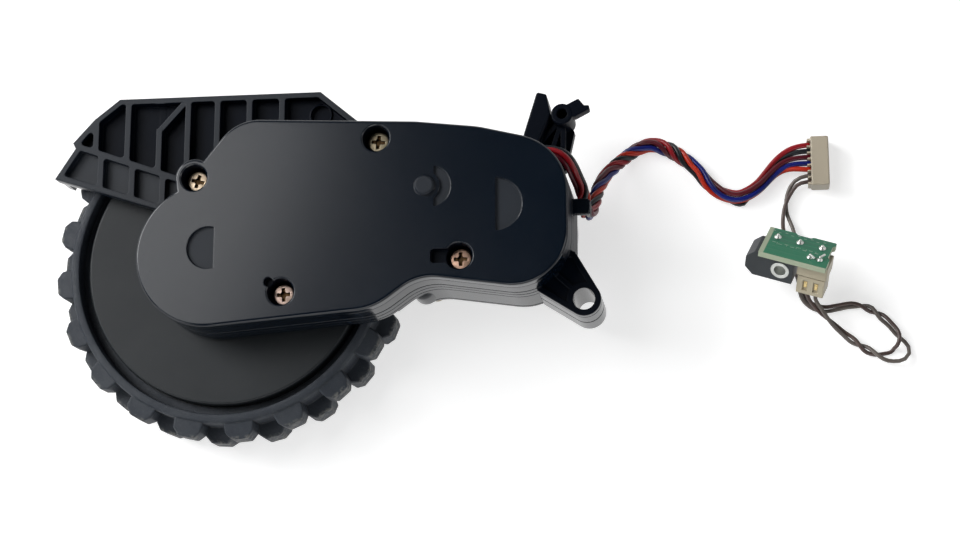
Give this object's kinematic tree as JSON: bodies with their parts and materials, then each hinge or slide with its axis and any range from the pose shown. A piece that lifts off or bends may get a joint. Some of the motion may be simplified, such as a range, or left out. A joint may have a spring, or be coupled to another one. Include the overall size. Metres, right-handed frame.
{
  "type": "robot vacuum wheel module",
  "caption": "Geared drive wheel module of a robot vacuum: rubber-tyred wheel, gearbox with motor, mud guard, pivot ear, wiring harness with plugs and a loose wheel-drop switch.",
  "frame": {"origin": "centre of the wheel's outer face, where the module lies on the table", "axes": "+Z along the wheel axis from the outer face to the flat gearbox cover, +X from the wheel to the motor end, +Y to the mud guard's side"},
  "size_m": [0.1673, 0.07, 0.0285],
  "materials": {
    "charcoal_plastic": "fine satin moulded plastic",
    "hub_plastic": "satin moulded plastic",
    "tyre_rubber": "matt rubber",
    "copper_screw": "copper-coloured plated steel",
    "steel": "bright plated steel",
    "sintered_bronze": "dull sintered bronze",
    "acetal_gear": "natural white acetal",
    "brass": "turned brass",
    "black_plastic": "black moulded plastic",
    "ferrite": "dark bonded magnet",
    "green_board": "green coated circuit board",
    "cream_nylon": "natural nylon",
    "red_wire": "wire insulation, mainly red",
    "brown_wire": "wire insulation, dark brown"
  },
  "bodies": {
    "gearcase": {"gearbox_base": "charcoal_plastic", "gearbox_cover": "charcoal_plastic", "motor_cap": "charcoal_plastic", "cover_screw_1": "copper_screw", "cover_screw_2": "copper_screw", "cover_screw_3": "copper_screw", "cover_screw_4": "copper_screw", "cap_screw_1": "copper_screw", "cap_screw_2": "copper_screw", "cap_screw_3": "copper_screw", "motor_can": "steel", "motor_screw_1": "steel", "motor_screw_2": "steel", "gear_pin_1": "steel", "gear_pin_2": "steel", "gear_pin_3": "steel", "switch_eyelet": "steel", "switch_pin_1": "steel", "switch_pin_2": "steel", "switch_pin_3": "steel", "lower_bush": "sintered_bronze", "upper_bush": "sintered_bronze", "motor_terminal_1": "brass", "motor_terminal_2": "brass", "motor_end_bell": "black_plastic", "hall_sensor_1": "black_plastic", "hall_sensor_2": "black_plastic", "switch_body": "black_plastic", "encoder_board": "green_board", "switch_board": "green_board", "harness_plug": "cream_nylon", "lead_plug": "cream_nylon", "board_header": "cream_nylon", "motor_harness": "red_wire", "switch_lead": "brown_wire"},
    "wheel": {"wheel_hub": "hub_plastic", "tyre": "tyre_rubber", "hub_cap": "hub_plastic", "wheel_screw": "steel", "output_shaft": "steel", "output_gear": "acetal_gear"},
    "third_gear": {"third_gear": "acetal_gear"},
    "second_gear": {"second_gear": "acetal_gear"},
    "first_gear": {"first_gear": "acetal_gear"},
    "rotor": {"rotor_shaft": "steel", "motor_pinion": "brass", "encoder_magnet": "ferrite"},
    "plunger": {"switch_plunger": "cream_nylon"}
  },
  "joints": [
    {"name": "wheel_spin", "type": "hinge", "parent": "gearcase", "child": "wheel", "pos_m": [0, 0, 0], "axis": [0, 0, 1], "continuous": true},
    {"name": "third_gear_spin", "type": "hinge", "parent": "gearcase", "child": "third_gear", "pos_m": [0.01232, 0.00655, 0], "axis": [0, 0, 1], "continuous": true},
    {"name": "second_gear_spin", "type": "hinge", "parent": "gearcase", "child": "second_gear", "pos_m": [0.02609, 0.00405, 0], "axis": [0, 0, 1], "continuous": true},
    {"name": "first_gear_spin", "type": "hinge", "parent": "gearcase", "child": "first_gear", "pos_m": [0.0419, 0.0107, 0], "axis": [0, 0, 1], "continuous": true},
    {"name": "rotor_spin", "type": "hinge", "parent": "gearcase", "child": "rotor", "pos_m": [0.05532, 0.00672, 0], "axis": [0, 0, 1], "continuous": true},
    {"name": "plunger_press", "type": "slide", "parent": "gearcase", "child": "plunger", "axis": [0.1162, 0.6102, 0.7837], "range_m": [0, 0.0005], "stiffness_N_per_m": 200}
  ],
  "couplings": [
    {"joint": "third_gear_spin", "follows": "wheel_spin", "ratio": -3.4286},
    {"joint": "second_gear_spin", "follows": "wheel_spin", "ratio": 13.714},
    {"joint": "first_gear_spin", "follows": "wheel_spin", "ratio": -34.286},
    {"joint": "rotor_spin", "follows": "wheel_spin", "ratio": 63.673}
  ]
}
